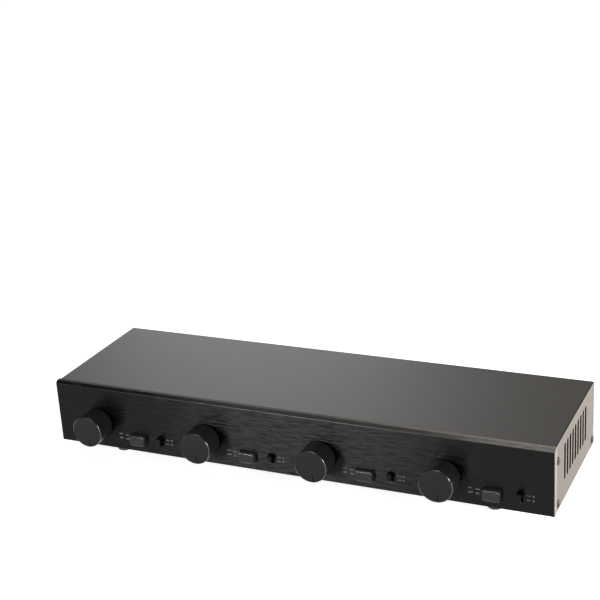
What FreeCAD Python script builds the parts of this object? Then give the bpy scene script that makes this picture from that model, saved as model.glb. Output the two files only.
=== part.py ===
import FreeCAD, Part
import math
import os

# Four-zone speaker selector with volume controls.
# Millimetres. +X is to the right as the user faces the panel, +Y runs to the rear, +Z is up.
# The origin lies on the surface the feet stand on, midway between the front of the knobs and
# the back of the terminal plugs.

# ---------------------------------------------------------------- driving dimensions

# Case
panel_width = 430.0
panel_height = 55.0
panel_thickness = 6.0
bevel_depth = 2.5             # bevel along the panel's top edge, front to back
bevel_height = 2.1
panel_edge_break = 0.4        # small chamfer round the other front edges
case_depth = 127.0            # panel front face to rear edge of the cover
sheet = 1.2                   # steel sheet of tray and cover
bend_radius = 0.3             # inside radius of every fold
cover_reveal = 0.3            # the panel stands this far past the cover
cover_corner_clip = 2.5       # cut off the cover's lower front corners
cover_fit = 0.1               # gap between the cover's inside and the tray
rear_inset = 1.5              # the rear wall lies this far inside the cover
side_flange = 11.0            # height of the flanges along the floor's sides
wall_tab = 15.0               # length of the tabs folded back from the front wall
top_lip = 8.0                 # lips along the tops of both walls
corner_relief = 3.0           # cut-back of folds where two of them meet at a corner

# Side slots of the cover
slot_count = 9
slot_end_flats = 6            # flats that make each slot's round end
slot_pitch = 8.3
slot_width = 4.0
slot_length = 29.6
slot_bottom = 16.4            # above the case's bottom edge
first_slot = 31.0             # behind the panel's front face

# Feet
foot_height = 9.0
foot_top_diameter = 13.0
foot_bottom_diameter = 12.2
foot_edge_break = 0.8         # chamfer round the lower edge
foot_well_diameter = 7.4      # counterbore that takes the screw head
foot_floor = 3.0              # rubber left above the counterbore
foot_from_end = 50.5          # foot centre to the panel's end
foot_from_front = 18.0        # foot centre to the panel's front face

# Screws: all M3, with low, wide heads on the cover and hexagon heads elsewhere.
# Threads and screw holes never show, so they have flats instead of many facets.
screw_diameter = 3.0
low_head_diameter = 6.2
low_head_height = 1.2
hex_head_across_flats = 5.5
hex_head_height = 2.0
screw_hole_play = 0.3         # added to the diameter of a clearance hole
thread_play = 0.1             # added to the diameter of a tapped hole
screw_tail = 2.5              # length of thread that stands out past the last sheet
thread_sides = 8
hidden_hole_sides = 12        # same for larger round holes that stay out of sight

# Places of the cover's side screws: (behind panel front face, above case bottom edge)
upper_front_screw = (10.5, 41.2)
lower_front_screw = (11.5, 5.4)
lower_rear_screw_inset = 5.5  # from the cover's rear edge
lower_rear_screw_height = 5.7

# Control groups
zone_count = 4
left_margin = 39.6            # panel's left end to the first knob's axis
right_margin = 85.0           # last knob's axis to the panel's right end
knob_height = 21.75           # knob axis above the case's bottom edge
button_offset = 37.8          # button centre to the right of the knob axis
button_height = 11.6
lever_offset = 59.0           # lever centre to the right of the knob axis
lever_height = 14.4           # lever centre at rest, in its upper place

# Knob
knob_diameter = 27.0
knob_length = 18.4
knob_gap = 1.5                # knob back to panel
knob_rim = 0.7                # bright chamfer round the face
knob_face = 3.5               # metal in front of the shaft's bore
pointer_width = 0.8
pointer_depth = 0.35
pointer_start = 6.6           # from the knob axis
pointer_angle = 10.0          # from straight down towards +X, at full volume
press_gap = 0.04              # between pieces pressed together

# Rotary switch
shaft_diameter = 6.0
shaft_play = 0.05             # radial
shaft_flat_depth = 1.5
shaft_flat_length = 16.0
shaft_end_gap = 0.4           # shaft tip to the bottom of the knob's bore
bush_wall = 1.5
bush_length = 5.4             # in front of the housing
bush_hole_play = 0.2          # added to the bush's diameter in the front wall
housing_size = 26.0
housing_corner = 3.0
housing_wall = 2.0
rotor_diameter = 16.0         # across its corners
rotor_sides = 12              # one for each detent
rotor_play = 0.3              # rotor's ends to housing and board
nut_across_flats = 12.0
nut_thickness = 2.0
washer_diameter = 14.0
washer_thickness = 0.5
nut_pocket_diameter = 17.0    # relief in the panel's back over the nut
panel_skin = 1.5              # metal left in front of that relief
shaft_hole_play = 1.0         # added to the shaft's diameter where it leaves the panel

# Boards
board_thickness = 1.6
board_gap = 16.0              # front wall to control board
board_end_margin = 8.0        # control board's ends to the tray's sides
board_top_margin = 9.0        # control board's top to the tray's top
board_floor_gap = 2.0
lead_size = 0.7               # square solder leads
lead_hole_play = 0.2
lead_length = 1.4             # stands out behind the board

# Zone button and its push switch
button_width = 13.9
button_tall = 9.0
button_proud = 4.9            # stands out of the panel
button_corner = 1.2
button_bevel = 0.8
button_wall = 1.1
button_face = 2.0
button_play = 0.3             # gap all round in the panel and the front wall
button_back_gap = 0.2         # cap's rear edge ahead of the front wall's rear face
button_travel = 3.0
plunger_size = 3.0
plunger_boss_wall = 1.1
plunger_grip = 7.0            # length of stem inside the cap's boss
plunger_insert = 2.5          # length of stem inside the switch at rest
plunger_play = 0.15
collar_size = 6.2
collar_thickness = 0.8
push_size = 8.6
push_depth = 7.5
spring_wire = 0.5
spring_diameter = 5.6         # outside
spring_turns = 5
spring_sides = 8              # straight lengths of wire in one turn
spring_end_gap = 0.1

# A/B lever and its slide switch
lever_width = 3.8
lever_tall = 5.2
lever_proud = 5.5
lever_tip_chamfer = 0.5
lever_travel = 3.0
lever_play = 0.4              # gap round the lever in the panel and the front wall
slot_corner = 0.8             # chamfers in the corners of the panel's slot
slider_width = 6.0
slider_tall = 6.4
slider_depth = 6.0
slider_play = 0.2
slide_wall = 1.1
slide_depth = 9.0

# Terminals
terminal_count = 6
pole_count = 4
pole_pitch = 5.08
board_stand = 12.0            # terminal board above the tray's floor
terminal_board_depth = 25.0
terminal_board_end_margin = 18.0
board_rear_gap = 1.0          # terminal board to rear wall
header_depth = 12.0
header_wall = 0.8
header_cavity_depth = 9.2
pin_size = 1.0
pin_length = 7.0
tongue_height = 6.7
tongue_length = 8.5
tongue_play = 0.15
window_play = 0.3             # gap round a header in the rear wall
plug_gap = 0.4                # plug's shoulder to the rear wall
plug_depth = 10.2
plug_tall = 15.0
plug_drop = 1.0               # plug's underside below the header
plug_chamfer = 3.0
wire_entry_width = 3.4
wire_entry_height = 3.4
wire_entry_depth = 8.0
wire_entry_funnel = 0.6
clamp_well_diameter = 3.9
clamp_well_depth = 1.2        # down to the clamp screw's head
socket_size = 1.5
socket_depth = 7.6
standoff_across_flats = 5.5
standoff_columns = 3
standoff_thread_depth = 6.0

# Autoformers
autoformer_count = 8
core_length = 41.0            # along Y
core_height = 34.0
core_stack = 16.0             # along X
core_leg = 13.0               # centre leg along Y
window_length = 7.2
window_height = 21.0
winding_width = 30.0          # along X
winding_play = 0.3
winding_corner = 2.5
frame_sheet = 1.0
frame_width = 14.0
frame_tab_width = 4.0         # tabs that pass through the floor and fold under it
frame_tab_fold = 3.5
frame_tab_play = 0.15
autoformer_end_margin = 17.0  # outer frames' centres inside the tray's sides, besides half a pitch

# ---------------------------------------------------------------- places worked out from them

plug_proud = plug_gap + plug_depth - rear_inset        # plugs' back behind the cover's rear edge
overall_depth = knob_length + knob_gap + case_depth + plug_proud
front_y = knob_length + knob_gap - overall_depth / 2
panel_back_y = front_y + panel_thickness
wall_back_y = panel_back_y + sheet
rear_y = front_y + case_depth
rear_wall_y = rear_y - rear_inset            # outer face of the rear wall
case_bottom = foot_height
case_top = case_bottom + panel_height
floor_top = case_bottom + sheet
cover_half = panel_width / 2 - cover_reveal
cover_top = case_top - cover_reveal
tray_half = cover_half - sheet - cover_fit
tray_top = cover_top - sheet - cover_fit
board_front_y = wall_back_y + board_gap
board_back_y = board_front_y + board_thickness

foot_x = panel_width / 2 - foot_from_end
foot_y = (front_y + foot_from_front, rear_y - foot_from_front)
zone_pitch = (panel_width - left_margin - right_margin) / (zone_count - 1)
zone_x = [-panel_width / 2 + left_margin + i * zone_pitch for i in range(zone_count)]
knob_z = case_bottom + knob_height
button_z = case_bottom + button_height
lever_z = case_bottom + lever_height
lever_slot_z = lever_z - lever_travel / 2

knob_back_y = front_y - knob_gap
knob_front_y = knob_back_y - knob_length
bush_diameter = shaft_diameter + 2 * bush_wall
bush_front_y = wall_back_y - bush_length
button_front_y = front_y - button_proud
button_back_y = wall_back_y - button_back_gap
push_front_y = board_front_y - push_depth
slide_front_y = board_front_y - slide_depth

terminal_board_top = floor_top + board_stand + board_thickness
terminal_board_back = rear_wall_y - sheet - board_rear_gap
terminal_board_front = terminal_board_back - terminal_board_depth
terminal_span = 2 * (tray_half - terminal_board_end_margin)
terminal_x = [terminal_span * ((i + 0.5) / terminal_count - 0.5) for i in range(terminal_count)]
tongue_width = pole_count * pole_pitch
header_width = tongue_width + 2 * (tongue_play + header_wall)
header_height = tongue_height + 2 * (tongue_play + header_wall)
header_lead_y = rear_wall_y - header_depth + 2 * lead_size
tongue_z = terminal_board_top + header_height / 2
plug_face_y = rear_wall_y + plug_gap
pole_offsets = [(i - (pole_count - 1) / 2) * pole_pitch for i in range(pole_count)]
standoff_inset = standoff_across_flats / 2 + 1.0

autoformer_y = (board_back_y + lead_length + terminal_board_front) / 2
autoformer_span = 2 * (tray_half - autoformer_end_margin)
autoformer_x = [autoformer_span * ((i + 0.5) / autoformer_count - 0.5) for i in range(autoformer_count)]


# ---------------------------------------------------------------- shapes that are used again

def at(x, y, z):
    return FreeCAD.Vector(x, y, z)


def block(x0, x1, y0, y1, z0, z1):
    return Part.makeBox(x1 - x0, y1 - y0, z1 - z0, at(x0, y0, z0))


def bar_along_y(x, z, width, height, y0, y1):
    """A bar of rectangular section centred on (x, z)."""
    return block(x - width / 2, x + width / 2, y0, y1, z - height / 2, z + height / 2)


def edges_along(shape, direction):
    return [edge for edge in shape.Edges if abs(edge.tangentAt(edge.FirstParameter).dot(direction)) > 0.9]


def edges_in_plane(shape, y):
    return [edge for edge in shape.Edges if abs(edge.CenterOfMass.y - y) < 0.01]


def rod(diameter, start, end):
    return Part.makeCylinder(diameter / 2, (end - start).Length, start, end - start)


def rod_along_y(diameter, x, z, y0, y1):
    return rod(diameter, at(x, y0, z), at(x, y1, z))


def turned(profile, x, z):
    """Revolves (radius, y) points about the line along Y through (x, z)."""
    points = [at(x + radius, y, z) for radius, y in profile]
    face = Part.Face(Part.makePolygon(points + points[:1]))
    return face.revolve(at(x, 0, z), at(0, 1, 0), 360)


def prism(sides, corner_radius, start, direction, length):
    """A regular prism that runs length from start along direction."""
    turn = 2 * math.pi / sides
    outline = Part.makePolygon([at(corner_radius * math.cos(turn * i), corner_radius * math.sin(turn * i), 0)
                                for i in range(sides + 1)])
    shape = Part.Face(outline).extrude(at(0, 0, length))
    shape.Placement = FreeCAD.Placement(start, FreeCAD.Rotation(at(0, 0, 1), direction))
    return shape


def hexagon(across_flats, start, direction, length):
    return prism(6, across_flats / math.sqrt(3), start, direction, length)


def screw_hole(play, start, end):
    """A hole that lets the screw's diameter and the play through between its flats."""
    corner_radius = (screw_diameter + play) / 2 / math.cos(math.pi / thread_sides)
    return prism(thread_sides, corner_radius, start, end - start, (end - start).Length)


def hidden_hole(diameter, start, end):
    corner_radius = diameter / 2 / math.cos(math.pi / hidden_hole_sides)
    return prism(hidden_hole_sides, corner_radius, start, end - start, (end - start).Length)


def thread(seat, direction, length):
    return prism(thread_sides, screw_diameter / 2, seat, direction, length)


def low_screw(seat, direction, length):
    """A low-headed screw whose head rests at seat; its thread runs length along direction."""
    head = rod(low_head_diameter, seat, seat - direction * low_head_height)
    return head.fuse(thread(seat, direction, length))


def hex_screw(seat, direction, length):
    head = hexagon(hex_head_across_flats, seat, direction * -1, hex_head_height)
    return head.fuse(thread(seat, direction, length))


def tangent_path(points, radius):
    """Straight runs through the points with a tangent arc in each right-angled corner."""
    edges = []
    start = points[0]
    for before, corner, after in zip(points, points[1:], points[2:]):
        back = (before - corner) * (radius / (before - corner).Length)
        ahead = (after - corner) * (radius / (after - corner).Length)
        middle = corner + (back + ahead) * (1 - math.sqrt(0.5))
        edges.append(Part.LineSegment(start, corner + back).toShape())
        edges.append(Part.Arc(corner + back, middle, corner + ahead).toShape())
        start = corner + ahead
    edges.append(Part.LineSegment(start, points[-1]).toShape())
    return edges


def folded_sheet(outer, run):
    """Sheet folded at right angles, all one way, through its outer corners, and swept along run."""
    inner = []
    for before, corner, after in zip(outer, outer[1:], outer[2:]):
        back = (before - corner) * (sheet / (before - corner).Length)
        ahead = (after - corner) * (sheet / (after - corner).Length)
        if not inner:
            inner.append(before + ahead)
        inner.append(corner + back + ahead)
    inner.append(outer[-1] + back)
    edges = tangent_path(outer, bend_radius + sheet) + tangent_path(inner, bend_radius)
    edges.append(Part.LineSegment(outer[0], inner[0]).toShape())
    edges.append(Part.LineSegment(outer[-1], inner[-1]).toShape())
    return Part.Face(Part.Wire(Part.__sortEdges__(edges))).extrude(run)


# ---------------------------------------------------------------- holes shared by several pieces

def button_openings(y0, y1):
    return [bar_along_y(x + button_offset, button_z, button_width + 2 * button_play,
                        button_tall + 2 * button_play, y0, y1) for x in zone_x]


def lever_openings(y0, y1):
    return [bar_along_y(x + lever_offset, lever_slot_z, lever_width + 2 * lever_play,
                        lever_tall + lever_travel + 2 * lever_play, y0, y1) for x in zone_x]


def panel_screw_places():
    """Two screws near each end of the panel."""
    end_x = tray_half - corner_relief - 2 * hex_head_across_flats
    return [(x, z) for x in (-end_x, end_x)
            for z in (floor_top + hex_head_across_flats, tray_top - sheet - hex_head_across_flats)]


def cover_screw_places():
    """(y, z) of the three screws on each side."""
    return [(front_y + upper_front_screw[0], case_bottom + upper_front_screw[1]),
            (front_y + lower_front_screw[0], case_bottom + lower_front_screw[1]),
            (rear_y - lower_rear_screw_inset, case_bottom + lower_rear_screw_height)]


def foot_places():
    return [(x, y) for x in (-foot_x, foot_x) for y in foot_y]


def standoff_places():
    """A row along the terminal board's front edge, and one at each rear corner."""
    end_x = terminal_span / 2 - standoff_inset
    columns = [end_x * (2 * i / (standoff_columns - 1) - 1) for i in range(standoff_columns)]
    front_row = [(x, terminal_board_front + standoff_inset) for x in columns]
    return front_row + [(x, terminal_board_back - standoff_inset) for x in (-end_x, end_x)]


def frame_tab_slots():
    """Slots in the floor for the tabs of the autoformers' frames."""
    reach = core_length / 2 + frame_sheet / 2
    width = frame_tab_width + 2 * frame_tab_play
    depth = frame_sheet + 2 * frame_tab_play
    return [block(x - width / 2, x + width / 2, y - depth / 2, y + depth / 2, 0, floor_top + sheet)
            for x in autoformer_x for y in (autoformer_y - reach, autoformer_y + reach)]


# ---------------------------------------------------------------- case

def chassis_tray():
    """Floor with side flanges, front wall with side tabs, rear wall; lips along both walls' tops."""
    half = tray_half - corner_relief
    walls = folded_sheet([at(-half, panel_back_y + top_lip, tray_top), at(-half, panel_back_y, tray_top),
                          at(-half, panel_back_y, case_bottom), at(-half, rear_wall_y, case_bottom),
                          at(-half, rear_wall_y, tray_top), at(-half, rear_wall_y - top_lip, tray_top)],
                         at(2 * half, 0, 0))
    flange_start = panel_back_y + corner_relief
    flange_top = case_bottom + side_flange
    flanges = folded_sheet([at(-tray_half, flange_start, flange_top),
                            at(-tray_half, flange_start, case_bottom),
                            at(tray_half, flange_start, case_bottom),
                            at(tray_half, flange_start, flange_top)],
                           at(0, rear_wall_y - flange_start, 0))
    tab_bottom = flange_top + corner_relief
    tabs = folded_sheet([at(-tray_half, panel_back_y + wall_tab, tab_bottom),
                         at(-tray_half, panel_back_y, tab_bottom), at(tray_half, panel_back_y, tab_bottom),
                         at(tray_half, panel_back_y + wall_tab, tab_bottom)],
                        at(0, 0, tray_top - corner_relief - tab_bottom))
    return walls.fuse([flanges, tabs]).cut(tray_holes()).removeSplitter()


def tray_holes():
    front, back = panel_back_y - sheet, wall_back_y + sheet
    holes = button_openings(front, back) + lever_openings(front, back)
    holes += [hidden_hole(bush_diameter + bush_hole_play, at(x, front, knob_z), at(x, back, knob_z))
              for x in zone_x]
    holes += [screw_hole(screw_hole_play, at(x, front, z), at(x, back, z)) for x, z in panel_screw_places()]
    holes += [bar_along_y(x, tongue_z, header_width + 2 * window_play, header_height + 2 * window_play,
                          rear_wall_y - 2 * sheet, rear_wall_y + sheet) for x in terminal_x]
    holes += [screw_hole(thread_play, at(-cover_half, y, z), at(cover_half, y, z))
              for y, z in cover_screw_places()]
    holes += [screw_hole(thread_play, at(x, y, 0), at(x, y, floor_top + sheet))
              for x, y in foot_places() + standoff_places()]
    return holes + frame_tab_slots()


def top_cover():
    shell = folded_sheet([at(-cover_half, panel_back_y, case_bottom),
                          at(-cover_half, panel_back_y, cover_top),
                          at(cover_half, panel_back_y, cover_top),
                          at(cover_half, panel_back_y, case_bottom)],
                         at(0, rear_y - panel_back_y, 0))
    holes = [screw_hole(screw_hole_play, at(-panel_width, y, z), at(panel_width, y, z))
             for y, z in cover_screw_places()]
    corner = at(-panel_width, panel_back_y, case_bottom)
    clip = Part.makePolygon([corner, corner + at(0, cover_corner_clip, 0),
                             corner + at(0, 0, cover_corner_clip), corner])
    return shell.cut(holes + side_slots() + [Part.Face(clip).extrude(at(2 * panel_width, 0, 0))])


def side_slots():
    """Upright slots with round ends, cut through both sides at once."""
    radius = slot_width / 2
    low = case_bottom + slot_bottom + radius
    high = case_bottom + slot_bottom + slot_length - radius
    steps = [math.pi * i / slot_end_flats for i in range(slot_end_flats + 1)]
    slots = []
    for i in range(slot_count):
        y = front_y + first_slot + i * slot_pitch
        outline = [at(-panel_width, y + radius * math.cos(turn), high + radius * math.sin(turn))
                   for turn in steps]
        outline += [at(-panel_width, y - radius * math.cos(turn), low - radius * math.sin(turn))
                    for turn in steps]
        slots.append(Part.Face(Part.makePolygon(outline + outline[:1])).extrude(at(2 * panel_width, 0, 0)))
    return slots


def front_panel():
    profile = [at(-panel_width / 2, y, z) for y, z in [
        (front_y, case_bottom), (front_y, case_top - bevel_height), (front_y + bevel_depth, case_top),
        (panel_back_y, case_top), (panel_back_y, case_bottom)]]
    plate = Part.Face(Part.makePolygon(profile + profile[:1])).extrude(at(panel_width, 0, 0))
    lower_edges = [edge for edge in edges_in_plane(plate, front_y)
                   if edge.CenterOfMass.z < case_top - bevel_height]
    plate = plate.makeChamfer(panel_edge_break, lower_edges)
    pocket_front = front_y + panel_skin
    beyond = panel_back_y + sheet
    holes = button_openings(front_y - sheet, beyond)
    holes += [slot.makeChamfer(slot_corner, edges_along(slot, at(0, 1, 0)))
              for slot in lever_openings(front_y - sheet, beyond)]
    for x in zone_x:
        holes.append(hidden_hole(nut_pocket_diameter, at(x, pocket_front, knob_z), at(x, beyond, knob_z)))
        holes.append(rod_along_y(shaft_diameter + shaft_hole_play, x, knob_z, front_y - sheet, beyond))
    holes += [screw_hole(thread_play, at(x, pocket_front, z), at(x, beyond, z))
              for x, z in panel_screw_places()]
    return plate.cut(holes)


def front_panel_screws():
    length = sheet + panel_thickness - panel_skin - thread_play
    return [hex_screw(at(x, wall_back_y, z), at(0, -1, 0), length) for x, z in panel_screw_places()]


def cover_screws():
    length = 2 * sheet + cover_fit + screw_tail
    return [low_screw(at(side * cover_half, y, z), at(-side, 0, 0), length)
            for side in (-1, 1) for y, z in cover_screw_places()]


def rubber_feet():
    feet = []
    for x, y in foot_places():
        foot = Part.makeCone(foot_bottom_diameter / 2, foot_top_diameter / 2, foot_height, at(x, y, 0))
        lower_edge = [edge for edge in foot.Edges if edge.CenterOfMass.z < 0.01 and edge.Closed]
        foot = foot.makeChamfer(foot_edge_break, lower_edge)
        well = hidden_hole(foot_well_diameter, at(x, y, -1), at(x, y, foot_height - foot_floor))
        hole = screw_hole(screw_hole_play, at(x, y, 0), at(x, y, foot_height + 1))
        feet.append(foot.cut([well, hole]))
    return feet


def foot_screws():
    length = foot_floor + sheet + screw_tail
    return [hex_screw(at(x, y, foot_height - foot_floor), at(0, 0, 1), length) for x, y in foot_places()]


# ---------------------------------------------------------------- volume controls

def d_shaft_tool(x, diameter, flat_depth, y0, y1):
    """A round bar along Y with one flat on top, on the knob axis."""
    bar = rod_along_y(diameter, x, knob_z, y0, y1)
    flat_z = knob_z + diameter / 2 - flat_depth
    return bar.cut(block(x - diameter, x + diameter, y0, y1, flat_z, flat_z + diameter))


def volume_knob(x):
    """Turned knob with a chamfered rim, a D-shaped bore from behind and an engraved pointer."""
    outer = knob_diameter / 2
    knob = turned([(0, knob_front_y), (outer - knob_rim, knob_front_y), (outer, knob_front_y + knob_rim),
                   (outer, knob_back_y), (0, knob_back_y)], x, knob_z)
    bore = d_shaft_tool(x, shaft_diameter + 2 * press_gap, shaft_flat_depth,
                        knob_front_y + knob_face, knob_back_y)
    pointer = block(x - pointer_width / 2, x + pointer_width / 2, knob_front_y - 1,
                    knob_front_y + pointer_depth, knob_z - knob_diameter, knob_z - pointer_start)
    pointer.rotate(at(x, 0, knob_z), at(0, 1, 0), -pointer_angle)
    return knob.cut([bore, pointer])


def volume_shaft(x):
    """D-cut shaft with the rotor that carries the switch's wiper."""
    radius = shaft_diameter / 2
    tip_y = knob_front_y + knob_face + shaft_end_gap
    rotor_front = wall_back_y + housing_wall + rotor_play
    rotor_back = board_front_y - rotor_play
    flat_z = knob_z + radius - shaft_flat_depth
    flat = block(x - radius, x + radius, tip_y - 1, tip_y + shaft_flat_length, flat_z, knob_z + 2 * radius)
    rotor = prism(rotor_sides, rotor_diameter / 2, at(x, rotor_front, knob_z), at(0, 1, 0),
                  rotor_back - rotor_front)
    return rod_along_y(shaft_diameter, x, knob_z, tip_y, rotor_front).cut(flat).fuse(rotor)


def rotary_switch(x):
    """Switch housing, open to the board, with a bush for the shaft in front and leads behind."""
    housing = bar_along_y(x, knob_z, housing_size, housing_size, wall_back_y, board_front_y)
    housing = housing.makeChamfer(housing_corner, edges_along(housing, at(0, 1, 0)))
    bush = rod_along_y(bush_diameter, x, knob_z, bush_front_y, wall_back_y)
    cavity_size = housing_size - 2 * housing_wall
    cavity = bar_along_y(x, knob_z, cavity_size, cavity_size, wall_back_y + housing_wall, board_front_y)
    cavity = cavity.makeChamfer(housing_corner, edges_along(cavity, at(0, 1, 0)))
    bore = rod_along_y(shaft_diameter + 2 * shaft_play, x, knob_z, bush_front_y, board_front_y)
    return housing.fuse([bush] + leads(rotary_lead_places(x))).cut([cavity, bore])


def shaft_nuts():
    nuts = []
    for x in zone_x:
        seat = at(x, panel_back_y - washer_thickness, knob_z)
        nut = hexagon(nut_across_flats, seat, at(0, -1, 0), nut_thickness)
        nuts.append(nut.cut(hidden_hole(bush_diameter + thread_play, seat, at(x, bush_front_y, knob_z))))
    return nuts


def shaft_washers():
    washers = []
    for x in zone_x:
        seat = at(x, panel_back_y, knob_z)
        disc = prism(hidden_hole_sides, washer_diameter / 2, seat, at(0, -1, 0), washer_thickness)
        hole = hidden_hole(bush_diameter + bush_hole_play, seat, at(x, bush_front_y, knob_z))
        washers.append(disc.cut(hole))
    return washers


# ---------------------------------------------------------------- control board and its leads

def rotary_lead_places(x):
    reach_x = housing_size / 2 - housing_corner
    reach_z = housing_size / 2 - housing_wall / 2
    return [(x + dx, knob_z + dz) for dx in (-reach_x, reach_x) for dz in (-reach_z, reach_z)]


def push_lead_places(x):
    reach = push_size / 2 - lead_size
    return [(x + button_offset, button_z + dz) for dz in (-reach, reach)]


def slide_lead_places(x):
    reach = (slider_tall + lever_travel) / 2 + slider_play + slide_wall / 2
    return [(x + lever_offset, lever_slot_z + dz) for dz in (-reach, reach)]


def leads(places):
    return [bar_along_y(x, z, lead_size, lead_size, board_front_y - lead_size, board_back_y + lead_length)
            for x, z in places]


def control_board():
    half = tray_half - board_end_margin
    plate = block(-half, half, board_front_y, board_back_y,
                  floor_top + board_floor_gap, tray_top - board_top_margin)
    places = [place for x in zone_x
              for place in rotary_lead_places(x) + push_lead_places(x) + slide_lead_places(x)]
    hole = lead_size + lead_hole_play
    return plate.cut([bar_along_y(x, z, hole, hole, board_front_y - 1, board_back_y + 1) for x, z in places])


# ---------------------------------------------------------------- zone buttons

def zone_button(x):
    """Moulded cap, hollow behind, with a boss that grips the plunger."""
    centre = x + button_offset
    cap = bar_along_y(centre, button_z, button_width, button_tall, button_front_y, button_back_y)
    cap = cap.makeChamfer(button_corner, edges_along(cap, at(0, 1, 0)))
    cap = cap.makeChamfer(button_bevel, edges_in_plane(cap, button_front_y))
    inside_y = button_front_y + button_face
    hollow = bar_along_y(centre, button_z, button_width - 2 * button_wall, button_tall - 2 * button_wall,
                         inside_y, button_back_y)
    boss_size = plunger_size + 2 * plunger_boss_wall
    boss = bar_along_y(centre, button_z, boss_size, boss_size, inside_y - button_face / 2, button_back_y)
    bore_size = plunger_size + 2 * press_gap
    bore = bar_along_y(centre, button_z, bore_size, bore_size, button_back_y - plunger_grip, button_back_y)
    return cap.cut(hollow).fuse(boss).cut(bore).removeSplitter()


def button_plunger(x):
    centre = x + button_offset
    stem = bar_along_y(centre, button_z, plunger_size, plunger_size,
                       button_back_y - plunger_grip + press_gap, push_front_y + plunger_insert)
    collar = bar_along_y(centre, button_z, collar_size, collar_size, button_back_y,
                         button_back_y + collar_thickness)
    return stem.fuse(collar).removeSplitter()


def push_switch(x):
    centre = x + button_offset
    body = bar_along_y(centre, button_z, push_size, push_size, push_front_y, board_front_y)
    bore_size = plunger_size + 2 * plunger_play
    bore = bar_along_y(centre, button_z, bore_size, bore_size, push_front_y,
                       push_front_y + plunger_insert + button_travel + plunger_play)
    return body.fuse(leads(push_lead_places(x))).cut(bore)


def button_spring(x):
    """Coil between the plunger's collar and the push switch, in square wire with short straight lengths."""
    half = spring_wire / 2
    mean_radius = spring_diameter / 2 - half
    start_y = button_back_y + collar_thickness + spring_end_gap + half
    end_y = push_front_y - spring_end_gap - half
    steps = spring_turns * spring_sides
    rings = []
    for i in range(steps + 1):
        angle = 2 * math.pi * i / spring_sides
        y = start_y + (end_y - start_y) * i / steps
        rings.append([at(x + button_offset + (mean_radius + dr) * math.cos(angle), y + dy,
                         button_z + (mean_radius + dr) * math.sin(angle))
                      for dr, dy in ((-half, -half), (half, -half), (half, half), (-half, half))])
    faces = [triangle_pair(near[i], near[i - 1], far[i - 1], far[i])
             for near, far in zip(rings, rings[1:]) for i in range(4)]
    faces += [triangle_pair(*rings[0]), triangle_pair(*rings[-1])]
    coil = Part.makeSolid(Part.makeShell([face for pair in faces for face in pair]))
    if coil.Volume < 0:
        coil.reverse()
    return coil


def triangle_pair(a, b, c, d):
    """Two flat faces that fill a four-cornered patch."""
    return [Part.Face(Part.makePolygon([p, q, r, p])) for p, q, r in ((a, b, c), (a, c, d))]


# ---------------------------------------------------------------- A/B levers

def ab_lever(x):
    """Lever, stem and slider in one moulding."""
    centre = x + lever_offset
    tip_y = front_y - lever_proud
    slider_front = slide_front_y + slide_wall + slider_play
    stem = bar_along_y(centre, lever_z, lever_width, lever_tall, tip_y, slider_front)
    stem = stem.makeChamfer(lever_tip_chamfer, edges_in_plane(stem, tip_y))
    slider = bar_along_y(centre, lever_z, slider_width, slider_tall,
                         slider_front, slider_front + slider_depth)
    return stem.fuse(slider).removeSplitter()


def ab_switch(x):
    """Slide switch body: a box open to the board, with a slot in its front for the lever."""
    centre = x + lever_offset
    cavity_width = slider_width + 2 * slider_play
    cavity_tall = slider_tall + lever_travel + 2 * slider_play
    body = bar_along_y(centre, lever_slot_z, cavity_width + 2 * slide_wall, cavity_tall + 2 * slide_wall,
                       slide_front_y, board_front_y)
    cavity = bar_along_y(centre, lever_slot_z, cavity_width, cavity_tall,
                         slide_front_y + slide_wall, board_front_y)
    slot = bar_along_y(centre, lever_slot_z, lever_width + 2 * slider_play,
                       lever_tall + lever_travel + 2 * slider_play, slide_front_y, board_front_y)
    return body.fuse(leads(slide_lead_places(x))).cut([cavity, slot])


# ---------------------------------------------------------------- rear terminals

def terminal_board():
    half = terminal_span / 2
    bottom = terminal_board_top - board_thickness
    plate = block(-half, half, terminal_board_front, terminal_board_back, bottom, terminal_board_top)
    holes = [screw_hole(screw_hole_play, at(x, y, bottom - 1), at(x, y, terminal_board_top + 1))
             for x, y in standoff_places()]
    slot = lead_size + lead_hole_play
    for x in terminal_x:
        for offset in pole_offsets:
            holes.append(block(x + offset - slot / 2, x + offset + slot / 2, header_lead_y - slot / 2,
                               header_lead_y + slot / 2, bottom - 1, terminal_board_top + 1))
    return plate.cut(holes)


def terminal_headers():
    """Shrouded pin headers: a mouth flush with the rear wall, four pins and four leads each."""
    headers = []
    for x in terminal_x:
        shell = bar_along_y(x, tongue_z, header_width, header_height,
                            rear_wall_y - header_depth, rear_wall_y)
        mouth = bar_along_y(x, tongue_z, header_width - 2 * header_wall, header_height - 2 * header_wall,
                            rear_wall_y - header_cavity_depth, rear_wall_y)
        floor_y = rear_wall_y - header_cavity_depth
        pins = [bar_along_y(x + offset, tongue_z, pin_size, pin_size, floor_y - 1, floor_y + pin_length)
                for offset in pole_offsets]
        feet = [block(x + offset - lead_size / 2, x + offset + lead_size / 2, header_lead_y - lead_size / 2,
                      header_lead_y + lead_size / 2, terminal_board_top - board_thickness - lead_length,
                      terminal_board_top + lead_size) for offset in pole_offsets]
        headers.append(shell.cut(mouth).fuse(pins + feet))
    return headers


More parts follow.
